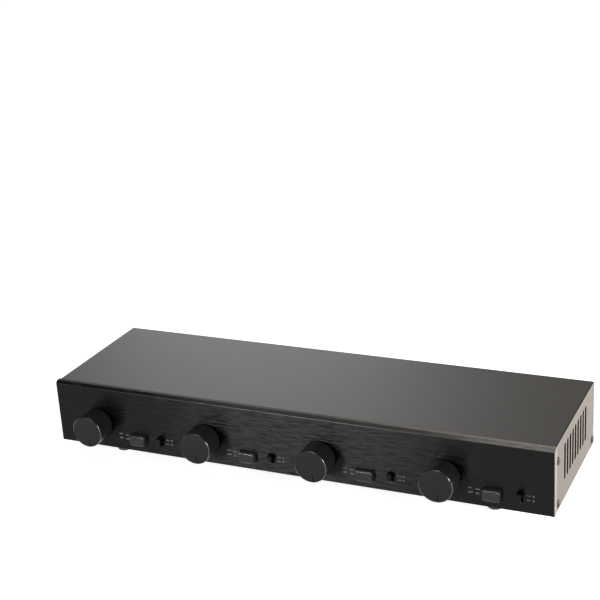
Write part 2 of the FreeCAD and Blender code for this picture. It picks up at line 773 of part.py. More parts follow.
def terminal_plug(x):
    """Pull-off screw terminal: tongue with sockets, wire entries behind, wells for clamp screws on top."""
    bottom = terminal_board_top - plug_drop
    top = bottom + plug_tall
    back_y = plug_face_y + plug_depth
    profile = [at(x - tongue_width / 2, y, z) for y, z in [
        (plug_face_y, bottom), (back_y, bottom), (back_y, top - plug_chamfer), (back_y - plug_chamfer, top),
        (plug_face_y, top)]]
    body = Part.Face(Part.makePolygon(profile + profile[:1])).extrude(at(tongue_width, 0, 0))
    tongue = bar_along_y(x, tongue_z, tongue_width, tongue_height, rear_wall_y - tongue_length, plug_face_y)
    cuts = []
    well_y = (plug_face_y + back_y - plug_chamfer) / 2
    for offset in pole_offsets:
        pole_x = x + offset
        cuts.append(bar_along_y(pole_x, tongue_z, socket_size, socket_size, rear_wall_y - tongue_length,
                                rear_wall_y - tongue_length + socket_depth))
        cuts.append(bar_along_y(pole_x, tongue_z, wire_entry_width, wire_entry_height,
                                back_y - wire_entry_depth, back_y))
        cuts.append(entry_funnel(pole_x, back_y))
        cuts.append(prism(thread_sides, clamp_well_diameter / 2, at(pole_x, well_y, top), at(0, 0, -1),
                          clamp_well_depth))
    return body.fuse(tongue).cut(cuts).removeSplitter()


def entry_funnel(x, back_y):
    """Chamfered mouth of one wire entry."""
    half_x, half_z, spread = wire_entry_width / 2, wire_entry_height / 2, wire_entry_funnel
    return Part.makeWedge(x - half_x, back_y - spread, tongue_z - half_z, tongue_z - half_z - spread,
                          x - half_x - spread, x + half_x, back_y, tongue_z + half_z,
                          tongue_z + half_z + spread, x + half_x + spread)


def terminal_board_standoffs():
    pillars = []
    for x, y in standoff_places():
        pillar = hexagon(standoff_across_flats, at(x, y, floor_top), at(0, 0, 1), board_stand)
        stud = thread(at(x, y, floor_top), at(0, 0, -1), sheet)
        top = floor_top + board_stand
        hole = screw_hole(thread_play, at(x, y, top - standoff_thread_depth), at(x, y, top))
        pillars.append(pillar.fuse(stud).cut(hole))
    return pillars


def terminal_board_screws():
    length = board_thickness + standoff_thread_depth - screw_hole_play
    return [hex_screw(at(x, y, terminal_board_top), at(0, 0, -1), length) for x, y in standoff_places()]


# ---------------------------------------------------------------- autoformers

def autoformer_cores():
    """Laminated stacks with two windows beside an upright centre leg."""
    cores = []
    for x in autoformer_x:
        stack = block(x - core_stack / 2, x + core_stack / 2, autoformer_y - core_length / 2,
                      autoformer_y + core_length / 2, floor_top, floor_top + core_height)
        low = floor_top + (core_height - window_height) / 2
        windows = []
        for side in (-1, 1):
            y = autoformer_y + side * (core_leg + window_length) / 2
            windows.append(block(x - core_stack, x + core_stack, y - window_length / 2,
                                 y + window_length / 2, low, low + window_height))
        cores.append(stack.cut(windows))
    return cores


def autoformer_windings():
    windings = []
    for x in autoformer_x:
        half_y = core_leg / 2 + window_length - winding_play
        low = floor_top + (core_height - window_height) / 2 + winding_play
        high = low + window_height - 2 * winding_play
        coil = block(x - winding_width / 2, x + winding_width / 2, autoformer_y - half_y,
                     autoformer_y + half_y, low, high)
        coil = coil.makeChamfer(winding_corner, edges_along(coil, at(0, 0, 1)))
        leg = block(x - core_stack / 2 - winding_play, x + core_stack / 2 + winding_play,
                    autoformer_y - core_leg / 2 - winding_play, autoformer_y + core_leg / 2 + winding_play,
                    low, high)
        windings.append(coil.cut(leg))
    return windings


def autoformer_frames():
    """Strap over each core, held by a tab at each end that passes the floor and folds under it."""
    inner = core_length / 2
    outer = inner + frame_sheet
    fold_end = outer + frame_tab_fold
    top = floor_top + core_height
    strap = [(-outer, floor_top), (-inner, floor_top), (-inner, top), (inner, top), (inner, floor_top),
             (outer, floor_top), (outer, top + frame_sheet), (-outer, top + frame_sheet)]
    under = case_bottom - frame_sheet
    tab = [(inner, floor_top), (inner, under), (fold_end, under), (fold_end, case_bottom),
           (outer, case_bottom), (outer, floor_top)]
    mirrored_tab = [(-y, z) for y, z in tab]
    frames = []
    for x in autoformer_x:
        pieces = [extruded_across(x, frame_width, strap)]
        pieces += [extruded_across(x, frame_tab_width, outline) for outline in (tab, mirrored_tab)]
        frames.append(pieces[0].fuse(pieces[1:]).removeSplitter())
    return frames


def extruded_across(x, width, outline):
    """Extrudes a (y, z) outline, given from the autoformers' centre line, over a width along X."""
    points = [at(x - width / 2, autoformer_y + y, z) for y, z in outline]
    return Part.Face(Part.makePolygon(points + points[:1])).extrude(at(width, 0, 0))


# ---------------------------------------------------------------- export

def write(name, shape):
    if isinstance(shape, list):
        shape = Part.makeCompound(shape)
    shape.exportStep("parts/" + name + ".step")


os.makedirs("parts", exist_ok=True)

for piece in (chassis_tray, top_cover, front_panel, rubber_feet, foot_screws, cover_screws,
              front_panel_screws, control_board, terminal_board, terminal_board_standoffs,
              terminal_board_screws, terminal_headers, shaft_nuts, shaft_washers, autoformer_cores,
              autoformer_windings, autoformer_frames):
    write(piece.__name__, piece())

for number, x in enumerate(zone_x, start=1):
    for piece in (volume_knob, volume_shaft, rotary_switch, zone_button, button_plunger, push_switch,
                  button_spring, ab_lever, ab_switch):
        write(piece.__name__ + "_" + str(number), piece(x))

for label, x in zip("ab1234", terminal_x):
    write("terminal_plug_" + label, terminal_plug(x))
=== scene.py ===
import math

import bmesh
import bpy
from mathutils import Matrix, Vector


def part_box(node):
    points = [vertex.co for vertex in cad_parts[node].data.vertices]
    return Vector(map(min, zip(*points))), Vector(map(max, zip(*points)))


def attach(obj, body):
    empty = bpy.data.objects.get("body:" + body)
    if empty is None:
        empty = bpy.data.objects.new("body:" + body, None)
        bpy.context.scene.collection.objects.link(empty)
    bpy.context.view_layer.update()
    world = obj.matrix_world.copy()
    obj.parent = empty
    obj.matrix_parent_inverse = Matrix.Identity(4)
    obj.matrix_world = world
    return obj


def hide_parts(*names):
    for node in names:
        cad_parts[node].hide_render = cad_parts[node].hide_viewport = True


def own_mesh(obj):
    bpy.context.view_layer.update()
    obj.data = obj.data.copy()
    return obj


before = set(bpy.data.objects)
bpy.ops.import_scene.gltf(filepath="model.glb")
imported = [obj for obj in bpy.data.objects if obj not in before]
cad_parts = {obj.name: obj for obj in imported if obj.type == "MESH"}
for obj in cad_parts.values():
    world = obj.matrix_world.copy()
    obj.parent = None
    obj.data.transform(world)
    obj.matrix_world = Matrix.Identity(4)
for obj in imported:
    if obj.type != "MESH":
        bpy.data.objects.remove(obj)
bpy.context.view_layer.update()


# ---- Chassis tray
# Floor, front and rear walls, lips and side flanges, all folded from one steel sheet. It is
# powder coated satin black, which rounds the cut edges a little.

same_point = 1e-6
nearly_flat, sharp_edge = math.radians(0.5), math.radians(35)


class Value:
    """A socket in a node tree. Sums written with it add the Math nodes."""

    def __init__(self, wiring, socket):
        self.wiring, self.socket = wiring, socket

    def maths(self, operation, first, second):
        return self.wiring.node("ShaderNodeMath", {"operation": operation}, {0: first, 1: second})

    def __add__(self, other):
        return self.maths("ADD", self, other)

    def __mul__(self, other):
        return self.maths("MULTIPLY", self, other)

    def __sub__(self, other):
        return self.maths("SUBTRACT", self, other)

    def __truediv__(self, other):
        return self.maths("DIVIDE", self, other)

    def larger(self, other):
        return self.maths("MAXIMUM", self, other)

    __radd__ = __add__
    __rmul__ = __mul__


class Wiring:
    """A node tree in the making. node() adds one node, its settings first and then its sockets."""

    def __init__(self, tree):
        self.tree = tree

    def node(self, kind, settings=None, sockets=None, output=0):
        made = self.tree.nodes.new(kind)
        for name, value in (settings or {}).items():
            setattr(made, name, value)
        for name, value in (sockets or {}).items():
            self.feed(made.inputs[name], value)
        return Value(self, made.outputs[output])

    def feed(self, socket, value):
        if isinstance(value, Value):
            self.tree.links.new(value.socket, socket)
        elif socket.type == "RGBA" and len(value) == 3:
            socket.default_value = (*value, 1)
        else:
            socket.default_value = value


class Finish(Wiring):
    """A procedural material round one Principled shader. Plain numbers go straight on its sockets."""

    def __init__(self, name, **plain):
        self.material = bpy.data.materials.new(name)
        self.material.use_nodes = True
        super().__init__(self.material.node_tree)
        self.shader = self.tree.nodes["Principled BSDF"]
        for socket, value in plain.items():
            self.give(socket.replace("_", " "), value)

    def give(self, socket, value):
        self.feed(self.shader.inputs[socket], value)

    def point(self, stretch=(1, 1, 1)):
        where = self.node("ShaderNodeTexCoord", output="Object")
        return self.node("ShaderNodeMapping", {}, {"Vector": where, "Scale": stretch})

    def axis(self, name):
        where = self.node("ShaderNodeTexCoord", output="Object")
        return self.node("ShaderNodeSeparateXYZ", {}, {"Vector": where}, output=name)

    def grain(self, per_metre, detail=3, stretch=(1, 1, 1)):
        return self.node("ShaderNodeTexNoise", {}, {
            "Vector": self.point(stretch), "Scale": per_metre, "Detail": detail})

    def spread(self, value, low, high):
        """Stretches the part of value from low to high over 0 to 1."""
        return self.node("ShaderNodeMapRange", {}, {"Value": value, "From Min": low, "From Max": high})

    def mottle(self, share, dark, light):
        """Lets the colour vary from dark to light."""
        self.give("Base Color", self.node(
            "ShaderNodeMix", {"data_type": "RGBA"}, {0: share, 6: dark, 7: light}, 2))

    def dull(self, share, least, most):
        """Lets the roughness vary from least to most."""
        self.give("Roughness", least + share * (most - least))

    def relief(self, height, metres):
        self.give("Normal", self.node("ShaderNodeBump", {}, {"Height": height, "Distance": metres}))


def as_mesh(name, shape):
    """Turns a bmesh into a mesh and frees it."""
    mesh = bpy.data.meshes.new(name)
    shape.to_mesh(mesh)
    shape.free()
    return mesh


def add_object(name, data):
    added = bpy.data.objects.new(name, data)
    bpy.context.scene.collection.objects.link(added)
    return added


def welded_copy(node):
    copy = bmesh.new()
    copy.from_mesh(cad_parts[node].data)
    bmesh.ops.remove_doubles(copy, verts=copy.verts, dist=same_point)
    return copy


def from_cad(name, node, edge, finish, slot, body="case"):
    """Takes a node's place with a copy whose flats are whole faces and whose edges are rounded.

    Faces with a notch are split first, because the rounding can fold them over.
    """
    shape = welded_copy(node)
    bmesh.ops.dissolve_limit(shape, angle_limit=nearly_flat, verts=shape.verts, edges=shape.edges)
    bmesh.ops.connect_verts_concave(shape, faces=shape.faces)
    piece = add_object(name, as_mesh(name, shape))
    round_edges(piece, edge)
    piece.data.materials.clear()
    piece.data.materials.append(finish.material)
    return seat(piece, body, slot, node)


def refinish(piece, finish, chosen):
    """Gives the faces that chosen() picks, by centre and normal, another finish."""
    piece.data.materials.append(finish.material)
    for face in piece.data.polygons:
        if chosen(face.center, face.normal):
            face.material_index = len(piece.data.materials) - 1


def round_edges(piece, edge):
    """Gives the sharp edges of a piece a small radius, and leaves its flats flat."""
    piece.data.shade_smooth()
    rounding = piece.modifiers.new("rounding", "BEVEL")
    rounding.width, rounding.segments, rounding.loop_slide = edge, 2, False
    rounding.limit_method, rounding.angle_limit = "ANGLE", sharp_edge
    flats = piece.modifiers.new("flats", "WEIGHTED_NORMAL")
    flats.mode, flats.weight = "FACE_AREA", 100
    make_plain(piece)


def make_plain(piece):
    """Turns a piece and its modifiers into a plain mesh."""
    plain = evaluated(piece)
    piece.modifiers.clear()
    piece.data = plain


def evaluated(thing):
    return bpy.data.meshes.new_from_object(thing.evaluated_get(bpy.context.evaluated_depsgraph_get()))


def seat(piece, body, slot, *nodes):
    """Says which body a piece rides and which CAD nodes it takes the place of. Its slot is not used."""
    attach(piece, body)
    if nodes:
        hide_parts(*nodes)
    return piece


tray_coat = Finish("tray_coat")
tray_specks = tray_coat.grain(2600)
tray_coat.mottle(tray_coat.grain(45), (0.012, 0.012, 0.0125), (0.021, 0.021, 0.0215))
tray_coat.dull(tray_specks, 0.42, 0.58)
tray_coat.relief(tray_specks, 0.00003)
from_cad("tray", "chassis_tray", 0.0002, tray_coat, "tray_paint")


# ---- Rubber feet
# Four moulded black rubber feet, each with a groove round its sole and a well for the screw
# that holds it to the floor of the tray.

sharp_corner = math.radians(40)


class Pattern(Wiring):
    """A Geometry Nodes tree in the making. Its inputs are named sizes, and it makes a plain mesh."""

    def __init__(self, name, **inputs):
        tree = bpy.data.node_groups.new(name, "GeometryNodeTree")
        super().__init__(tree)
        tree.interface.new_socket("Geometry", in_out="OUTPUT", socket_type="NodeSocketGeometry")
        for label, kind in {"Geometry": "Geometry", **inputs, "Finish": "Material"}.items():
            tree.interface.new_socket(label, in_out="INPUT", socket_type="NodeSocket" + kind)
        self.start = tree.nodes.new("NodeGroupInput")
        self.end = tree.nodes.new("NodeGroupOutput")

    def given(self, label):
        return Value(self, self.start.outputs[label])

    def close(self, geometry):
        real = self.node("GeometryNodeRealizeInstances", {}, {0: geometry})
        self.feed(self.end.inputs[0], self.node("GeometryNodeSetMaterial", {}, {
            "Geometry": real, "Material": self.given("Finish")}))

    def make(self, name, mesh, finish, **sizes):
        piece = add_object(name, mesh)
        modifier = piece.modifiers.new("pattern", "NODES")
        modifier.node_group = self.tree
        for socket in self.tree.interface.items_tree:
            if socket.in_out == "INPUT" and socket.name in sizes:
                modifier[socket.identifier] = sizes[socket.name]
            elif socket.name == "Finish":
                modifier[socket.identifier] = finish.material
        make_plain(piece)
        piece.data.shade_smooth()
        piece.data.set_sharp_from_angle(angle=sharp_corner)
        return piece


set_out = Pattern("set_out", Places="Object")
places_info = set_out.node("GeometryNodeObjectInfo", {}, {"Object": set_out.given("Places")}, "Geometry")
facing = set_out.node("GeometryNodeInputNamedAttribute", {"data_type": "FLOAT_VECTOR"}, {"Name": "facing"})
turn = set_out.node("FunctionNodeAlignRotationToVector", {"axis": "Z"}, {"Vector": facing})
set_out.close(set_out.node("GeometryNodeInstanceOnPoints", {}, {
    "Points": places_info, "Instance": set_out.given("Geometry"), "Rotation": turn}))


def spread_out(name, mesh, places, finish):
    """Copies a mesh that faces +Z to each (place, direction it faces)."""
    points = bpy.data.meshes.new("places")
    points.from_pydata([place for place, _ in places], [], [])
    directions = points.attributes.new("facing", "FLOAT_VECTOR", "POINT")
    for index, (_, direction) in enumerate(places):
        directions.data[index].vector = direction
    holder = add_object("places", points)
    piece = set_out.make(name, mesh, finish, Places=holder)
    bpy.data.objects.remove(holder)
    return piece


def turned(name, profile, sides):
    """A mesh spun about Z from (radius, height) points that run from axis to axis."""
    spun = bmesh.new()
    line = [spun.verts.new((radius, 0, height)) for radius, height in profile]
    edges = [spun.edges.new(pair) for pair in zip(line, line[1:])]
    bmesh.ops.spin(spun, geom=line + edges, cent=(0, 0, 0), axis=(0, 0, 1), angle=math.tau, steps=sides)
    bmesh.ops.remove_doubles(spun, verts=spun.verts, dist=same_point / 10)
    bmesh.ops.recalc_face_normals(spun, faces=spun.faces)
    return as_mesh(name, spun)


def arc(centre, radius, start, end, steps):
    """Points of a profile's arc, between two angles in degrees."""
    angles = [math.radians(start + (end - start) * i / steps) for i in range(steps + 1)]
    return [(centre[0] + radius * math.cos(a), centre[1] + radius * math.sin(a)) for a in angles]


def groups_of(node):
    """The centre and size of each separate solid in a node."""
    loose = welded_copy(node)
    found, waiting = [], set(loose.verts)
    while waiting:
        group, front = set(), [waiting.pop()]
        while front:
            corner = front.pop()
            group.add(corner)
            for edge in corner.link_edges:
                other = edge.other_vert(corner)
                if other in waiting:
                    waiting.remove(other)
                    front.append(other)
        low = Vector([min(v.co[k] for v in group) for k in range(3)])
        high = Vector([max(v.co[k] for v in group) for k in range(3)])
        found.append(((low + high) / 2, high - low))
    loose.free()
    return sorted(found, key=lambda item: tuple(round(x, 5) for x in item[0]))


rubber = Finish("rubber")
rubber_specks = rubber.grain(1500, 5)
rubber.mottle(rubber_specks, (0.011, 0.011, 0.011), (0.024, 0.023, 0.022))
rubber.dull(rubber_specks, 0.68, 0.88)
rubber.relief(rubber_specks, 0.00004)

feet = groups_of("rubber_feet")
foot_places = [Vector((centre.x, centre.y, 0)) for centre, size in feet]
foot_radius, foot_height = feet[0][1].x / 2, feet[0][1].z
foot_hole, well_radius, well_top = 0.00165, 0.0037, foot_height - 0.003
groove_inner, groove_outer, groove_depth, groove_slant = 0.0043, 0.0049, 0.0005, 0.0001
sole_round, sole_round_at = 0.0009, 0.0052
lip_width, lip_height, shoulder_width, shoulder_height = 0.0002, 0.0003, 0.0001, 0.0006
up = Vector((0, 0, 1))
foot_profile = [(foot_hole, well_top), (well_radius, well_top), (well_radius, lip_height),
                (well_radius + lip_width, 0), (groove_inner, 0), (groove_inner + groove_slant, groove_depth),
                (groove_outer - groove_slant, groove_depth), (groove_outer, 0)]
foot_profile += arc((sole_round_at, sole_round), sole_round, -90, -8, 6)
foot_profile += [(foot_radius - shoulder_width, foot_height - shoulder_height), (foot_radius, foot_height),
                 (foot_hole, foot_height), (foot_hole, well_top)]
foot_mesh = turned("foot", foot_profile, 72)
seat(spread_out("moulded_feet", foot_mesh, [(place, up) for place in foot_places], rubber),
     "case", "foot_rubber", "rubber_feet")


# ---- Foot screws
# M3 pan-head screws with a cross recess, black oxide finish, driven up through each foot.

def box_at(place, size):
    """The matrix that makes a unit cube a box of this size at this place."""
    return Matrix.Translation(place) @ Matrix.Diagonal((*size, 1))


def boxes(name, matrices):
    shape = bmesh.new()
    for matrix in matrices:
        bmesh.ops.create_cube(shape, size=1, matrix=matrix)
    return as_mesh(name, shape)


def carve(piece, name, matrices):
    """Cuts boxes out of a piece."""
    cutter = add_object(name, boxes(name, matrices))
    cutting = piece.modifiers.new(name, "BOOLEAN")
    cutting.object, cutting.solver, cutting.use_self = cutter, "EXACT", len(matrices) > 1
    make_plain(piece)
    bpy.data.objects.remove(cutter)


thread_pitch, thread_root, thread_crest, thread_end, thread_gap = 0.0005, 0.00138, 0.0015, 0.00125, 0.00005


def screw(name, head_radius, head_height, length):
    """An M3 screw that faces +Z: domed head on the XY plane, cross recess, ridged thread below it."""
    crown, crown_fall, steps, under_edge = head_radius * 0.82, 0.16, 5, 0.00012
    outline = [(crown * i / steps, head_height * (1 - crown_fall * (i / steps) ** 2))
               for i in range(steps + 1)]
    outline += [(head_radius * 0.94, head_height * 0.68), (head_radius, head_height * 0.42),
                (head_radius, under_edge), (head_radius - under_edge, 0)]
    ridges = round(length / thread_pitch)
    for i in range(ridges):
        top = -length * i / ridges
        outline += [(thread_root, top - thread_gap), (thread_crest, top - length / ridges / 2)]
    tip = [(thread_end, -length)] if ridges else []
    blank = add_object(name, turned(name, outline + tip + [(0, -length)], 28))
    slot_length, slot_share, slot_depth = head_radius * 1.15, 0.22, head_height * 1.1
    carve(blank, "cross_recess", [
        box_at((0, 0, head_height), (slot_length * wide, slot_length * deep, slot_depth))
        for wide, deep in ((1, slot_share), (slot_share, 1))])
    mesh = blank.data
    bpy.data.objects.remove(blank)
    return mesh


black_oxide = Finish("black_oxide", Metallic=0.7)
oxide_cloud = black_oxide.grain(900)
black_oxide.mottle(oxide_cloud, (0.02, 0.02, 0.022), (0.075, 0.073, 0.07))
black_oxide.dull(oxide_cloud, 0.28, 0.48)
foot_screw = screw("foot_screw", 0.00275, 0.0020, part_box("foot_screws")[1].z - well_top)
down = Vector((0, 0, -1))
screw_places = [(place + up * well_top, down) for place in foot_places]
seat(spread_out("foot_screws_black", foot_screw, screw_places, black_oxide),
     "case", "black_screw", "foot_screws")


# ---- Autoformers
# Eight tapped transformers, two for each zone: stacked core laminations dipped in varnish, a copper
# winding on the middle leg, and a steel strap with tabs folded under the floor.

core_steel = Finish("core_steel", Roughness=0.5, Metallic=0.6)
sheet_edges = core_steel.node("ShaderNodeTexWave", {"wave_type": "BANDS", "bands_direction": "X"}, {
    "Vector": core_steel.point(), "Scale": 320, "Distortion": 0.4})
core_steel.mottle(sheet_edges, (0.035, 0.032, 0.03), (0.13, 0.125, 0.12))
core_steel.relief(sheet_edges, 0.00006)
from_cad("cores", "autoformer_cores", 0.00015, core_steel, "core_laminations")

strap_steel = Finish("strap_steel", Metallic=1.0)
strap_marks = strap_steel.grain(700, stretch=(1, 0.15, 1))
strap_steel.mottle(strap_marks, (0.3, 0.29, 0.28), (0.52, 0.51, 0.49))
strap_steel.dull(strap_marks, 0.24, 0.44)
from_cad("straps", "autoformer_frames", 0.00012, strap_steel, "frame_steel")

copper = Finish("enamelled_copper", Roughness=0.28, Metallic=1.0)
copper.mottle(copper.grain(400), (0.36, 0.12, 0.045), (0.62, 0.25, 0.1))

coil_turns = Pattern("coil_turns", Length="Float", Width="Float", Height="Float", Corner="Float",
                     Wire="Float", Layers="Int")
loop = coil_turns.node("GeometryNodeCurvePrimitiveQuadrilateral", {}, {
    "Width": coil_turns.given("Width"), "Height": coil_turns.given("Length")})
loop = coil_turns.node("GeometryNodeFilletCurve", {"mode": "POLY"}, {
    "Curve": loop, "Radius": coil_turns.given("Corner"), "Count": 5})
wire = coil_turns.node("GeometryNodeCurvePrimitiveCircle", {}, {
    "Resolution": 6, "Radius": coil_turns.given("Wire") * 0.5}, "Curve")
turn_mesh = coil_turns.node("GeometryNodeCurveToMesh", {}, {"Curve": loop, "Profile Curve": wire})
pile = coil_turns.node("GeometryNodeMeshLine", {"mode": "OFFSET"}, {
    "Count": coil_turns.given("Layers"), "Offset": coil_turns.node("ShaderNodeCombineXYZ", {}, {
        "Z": coil_turns.given("Height") / coil_turns.given("Layers")})})
coil_turns.close(coil_turns.node("GeometryNodeInstanceOnPoints", {}, {
    "Points": pile, "Instance": turn_mesh}))

windings = groups_of("autoformer_windings")
winding_size = windings[0][1]
wire_diameter = 0.00095
winding_corner = 0.0028
winding_layers = int(winding_size.z / wire_diameter)
one_winding = coil_turns.make(
    "one_winding", bpy.data.meshes.new("empty"), copper, Width=winding_size.x - wire_diameter,
    Length=winding_size.y - wire_diameter, Height=winding_size.z, Corner=winding_corner, Wire=wire_diameter,
    Layers=winding_layers)
lowest_layer = (winding_size.z / winding_layers - winding_size.z) / 2
one_winding.data.transform(Matrix.Translation((0, 0, lowest_layer)))
winding_places = [(centre, up) for centre, size in windings]
seat(spread_out("copper_windings", one_winding.data, winding_places, copper),
     "case", "copper_winding", "autoformer_windings")
bpy.data.objects.remove(one_winding)


# ---- Circuit boards
# Fibreglass boards with green solder resist over copper tracks. The tall one stands behind the
# controls, and the flat one carries the speaker connectors on five nickel-plated pillars.

board_resist = Finish("green_resist", Roughness=0.3, Coat_Weight=0.4, Coat_Roughness=0.15)
tracks = board_resist.node("ShaderNodeTexBrick", {"offset": 0.37, "squash": 0.6, "squash_frequency": 3}, {
    "Vector": board_resist.point(), "Scale": 60, "Mortar Size": 0.06, "Mortar Smooth": 0.1}, "Fac")
board_resist.mottle(tracks, (0.008, 0.07, 0.028), (0.02, 0.14, 0.05))
board_resist.relief(tracks, 0.00004)
for node in ("control_board", "terminal_board"):
    from_cad(node + "_resist", node, 0.0001, board_resist, "circuit_board")

bright_nickel = Finish("bright_nickel", Metallic=1.0)
nickel_marks = bright_nickel.grain(1200)
bright_nickel.mottle(nickel_marks, (0.5, 0.48, 0.44), (0.7, 0.68, 0.64))
bright_nickel.dull(nickel_marks, 0.16, 0.34)
from_cad("pillars", "terminal_board_standoffs", 0.00015, bright_nickel, "nickel_brass")

zinc_plate = Finish("zinc_plate", Metallic=1.0)
zinc_cloud = zinc_plate.grain(800)
zinc_plate.mottle(zinc_cloud, (0.42, 0.43, 0.44), (0.66, 0.65, 0.6))
zinc_plate.dull(zinc_cloud, 0.22, 0.46)
from_cad("board_screws", "terminal_board_screws", 0.00015, zinc_plate, "zinc_screw")


# ---- Rotary switches
# Black phenolic housings soldered to the tall board. A nut and a thin washer clamp each bush
# to the tray's front wall, and a D-cut shaft with its rotor turns inside.

phenolic = Finish("phenolic")
phenolic_grain = phenolic.grain(1800, 4)
phenolic.mottle(phenolic_grain, (0.012, 0.011, 0.01), (0.035, 0.03, 0.027))
phenolic.dull(phenolic_grain, 0.36, 0.56)
shaft_alloy = Finish("shaft_alloy", Metallic=1.0)
shaft_rings = shaft_alloy.grain(900, stretch=(0.2, 8, 0.2))
shaft_alloy.mottle(shaft_rings, (0.45, 0.45, 0.45), (0.68, 0.68, 0.67))
shaft_alloy.dull(shaft_rings, 0.2, 0.4)
for zone in "1234":
    from_cad("rotary_housing_" + zone, "rotary_switch_" + zone, 0.00012, phenolic, "switch_housing")
    from_cad("shaft_" + zone, "volume_shaft_" + zone, 0.0001, shaft_alloy, "shaft_metal",
             "volume_control_" + zone)
from_cad("bush_nuts", "shaft_nuts", 0.0002, bright_nickel, "nickel_brass")
from_cad("bush_washers", "shaft_washers", 0.00008, zinc_plate, "zinc_screw")


# ---- Push switches and their springs
# A latching push switch for each zone, moulded in black, with a natural nylon plunger and a coil
# spring of bright wire that pushes the button back out.

nylon = Finish("natural_nylon", Roughness=0.4, Subsurface_Weight=0.08)
nylon.mottle(nylon.grain(500), (0.68, 0.66, 0.6), (0.8, 0.78, 0.72))
spring_wire = Finish("spring_wire", Base_Color=(0.62, 0.62, 0.6), Metallic=1.0)
spring_wire.dull(spring_wire.grain(1500), 0.16, 0.36)

coil = Pattern("coil", Turns="Float", Radius="Float", Height="Float", Wire="Float")
helix = coil.node("GeometryNodeCurveSpiral", {}, {
    "Resolution": 24, "Rotations": coil.given("Turns"), "Start Radius": coil.given("Radius"),
    "End Radius": coil.given("Radius"), "Height": coil.given("Height")})
section = coil.node("GeometryNodeCurvePrimitiveCircle", {}, {
    "Resolution": 10, "Radius": coil.given("Wire") * 0.5}, "Curve")
coil.close(coil.node("GeometryNodeCurveToMesh", {}, {
    "Curve": helix, "Profile Curve": section, "Fill Caps": True}))

wire_size, pressed_length = 0.0005, 0.61
for zone in "1234":
    from_cad("push_housing_" + zone, "push_switch_" + zone, 0.00015, phenolic, "switch_housing")
    from_cad("plunger_" + zone, "button_plunger_" + zone, 0.00015, nylon, "plunger_nylon",
             "zone_button_" + zone)
    low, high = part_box("button_spring_" + zone)
    middle = (low + high) / 2
    spring = coil.make(
        "spring_" + zone, bpy.data.meshes.new("empty"), spring_wire, Turns=5.0, Wire=wire_size,
        Radius=(high.x - low.x - wire_size) / 2, Height=high.y - low.y - wire_size)
    spring.data.transform(Matrix.Translation((middle.x, high.y - wire_size / 2, middle.z)) @
                          Matrix.Rotation(math.radians(90), 4, "X"))
    seat(spring, "case", "spring_steel", "button_spring_" + zone)
    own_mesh(spring)


# ---- Slide switches and levers
# A small two-place slide switch for each zone. Its lever is one black moulding with the slider
# and stands out through the panel.

moulded_black = Finish("moulded_black", Specular_IOR_Level=0.1)
fine_texture = moulded_black.grain(3000, 2)
moulded_black.mottle(moulded_black.grain(260), (0.002, 0.002, 0.002), (0.007, 0.007, 0.0068))
moulded_black.dull(fine_texture, 0.34, 0.5)
moulded_black.relief(fine_texture, 0.000012)
for zone in "1234":
    from_cad("slide_housing_" + zone, "ab_switch_" + zone, 0.00012, phenolic, "switch_housing")
    from_cad("lever_" + zone, "ab_lever_" + zone, 0.00025, moulded_black, "lever_black", "ab_lever_" + zone)


# ---- Front panel
# Extruded aluminium, brushed along its length and anodised black. A bevel is milled along its
# top edge and meets the face in a crease. The crease has a painted highlight that is brightest
# near the middle, the cut ends are painted pale as a painted sheen, and the milled top has a
# painted highlight that grows towards its right end.

def brushed(name, dark, light, least_rough, depth, **plain):
    """Anodised aluminium brushed along X."""
    finish = Finish(name, **plain)
    hairlines = finish.spread(finish.grain(1, 5, (75, 1, 3600)), 0.3, 0.7)
    streaks = finish.spread(finish.grain(1, 4, (75, 1, 650)), 0.38, 0.62)
    brushing = hairlines * 0.3 + streaks * 0.7
    finish.mottle(brushing, dark, light)
    finish.dull(brushing, least_rough, least_rough + 0.2)
    finish.relief(brushing, depth)
    return finish


anodised = brushed("brushed_anodised", (0.0002, 0.0002, 0.0002), (0.0031, 0.0031, 0.003), 0.15, 0.00001,
                   Specular_IOR_Level=0.14, Anisotropic=1.0, Anisotropic_Rotation=0.25)
cut_bevel = brushed("cut_bevel", (0.002, 0.002, 0.002), (0.008, 0.0078, 0.0075), 0.05, 0.000003,
                    Specular_IOR_Level=0.5, Specular_Tint=(1.0, 0.95, 0.86, 1.0))
# Painted highlight: the milled top is painted lighter towards its right end.
milled_top = Finish("milled_top", Roughness=0.45, Specular_IOR_Level=0.1)
highlight_towards_right = milled_top.spread(milled_top.axis("X"), 0.03, 0.19)
milled_top.mottle(highlight_towards_right, (0.006, 0.006, 0.0058), (0.26, 0.245, 0.22))
# Painted highlight: the crease is painted bright near the middle and dark towards both ends.
painted_crease_highlight = Finish("bright_crease", Roughness=0.3, Metallic=0.3)
along = painted_crease_highlight.axis("X")
highlight_near_middle = painted_crease_highlight.spread(along, -0.16, -0.06) - painted_crease_highlight.spread(along, 0.05, 0.14)
painted_crease_highlight.mottle(highlight_near_middle, (0.012, 0.012, 0.0115), (0.1, 0.0975, 0.0925))
